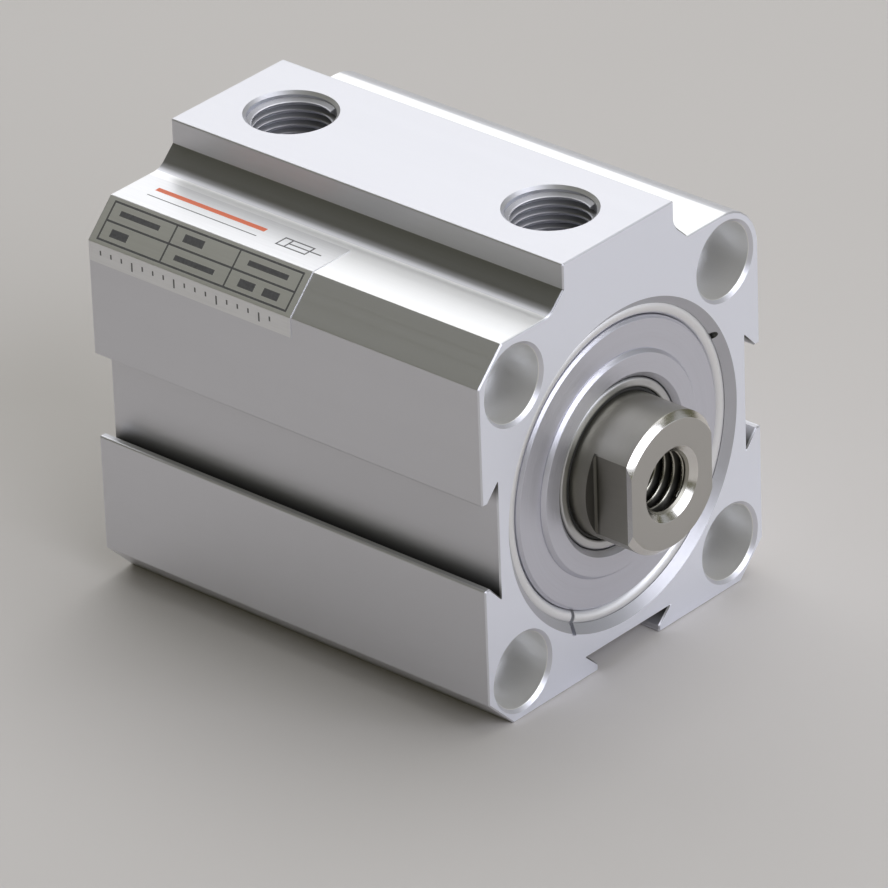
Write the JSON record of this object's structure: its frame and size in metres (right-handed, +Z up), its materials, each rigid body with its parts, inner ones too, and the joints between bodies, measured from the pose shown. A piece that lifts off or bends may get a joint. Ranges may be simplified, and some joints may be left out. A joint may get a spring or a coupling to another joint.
{
  "type": "compact pneumatic cylinder",
  "caption": "Square-bodied compact air cylinder with a short round rod, female rod thread, port ridge on top and dovetail sensor grooves.",
  "frame": {"origin": "where the cylinder's axis meets the front mounting face", "axes": "+X along the rod, out of the front face; +Z up to the port ridge; -Y the labelled side"},
  "size_m": [0.061, 0.0451, 0.05],
  "materials": {
    "body_aluminium": "satin clear anodised extrusion",
    "cover_aluminium": "turned and anodised",
    "ring_steel": "drawn spring wire",
    "case_steel": "pressed steel",
    "rod_steel": "ground and polished, turned end",
    "screw_steel": "black oxide",
    "bush_bronze": "sintered, oiled",
    "nitrile_rubber": "moulded, matt",
    "buffer_rubber": "moulded polyurethane",
    "magnet": "plastic bonded ferrite",
    "guide_plastic": "acetal",
    "label_film": "metallised printed film"
  },
  "bodies": {
    "cylinder": {"barrel": "body_aluminium", "rating_label": "label_film", "front_cover": "cover_aluminium", "rear_cover": "cover_aluminium", "front_retaining_ring": "ring_steel", "rear_retaining_ring": "ring_steel", "front_cover_o_ring": "nitrile_rubber", "rear_cover_o_ring": "nitrile_rubber", "wiper_case": "case_steel", "rod_wiper": "nitrile_rubber", "rod_seal": "nitrile_rubber", "rod_bush": "bush_bronze"},
    "piston_rings": {"piston_seal": "nitrile_rubber", "piston_guide_ring": "guide_plastic"},
    "rod_and_piston": {"piston_rod": "rod_steel", "piston_front_half": "cover_aluminium", "piston_rear_half": "cover_aluminium", "piston_magnet": "magnet", "piston_o_ring": "nitrile_rubber", "piston_bolt": "screw_steel", "front_buffer": "buffer_rubber", "rear_buffer": "buffer_rubber"}
  },
  "joints": [
    {"name": "rod_slide", "type": "slide", "parent": "cylinder", "child": "piston_rings", "axis": [1, 0, 0], "range_m": [0, 0.025]},
    {"name": "rod_turn", "type": "hinge", "parent": "piston_rings", "child": "rod_and_piston", "pos_m": [0, 0, 0], "axis": [1, 0, 0], "continuous": true}
  ]
}
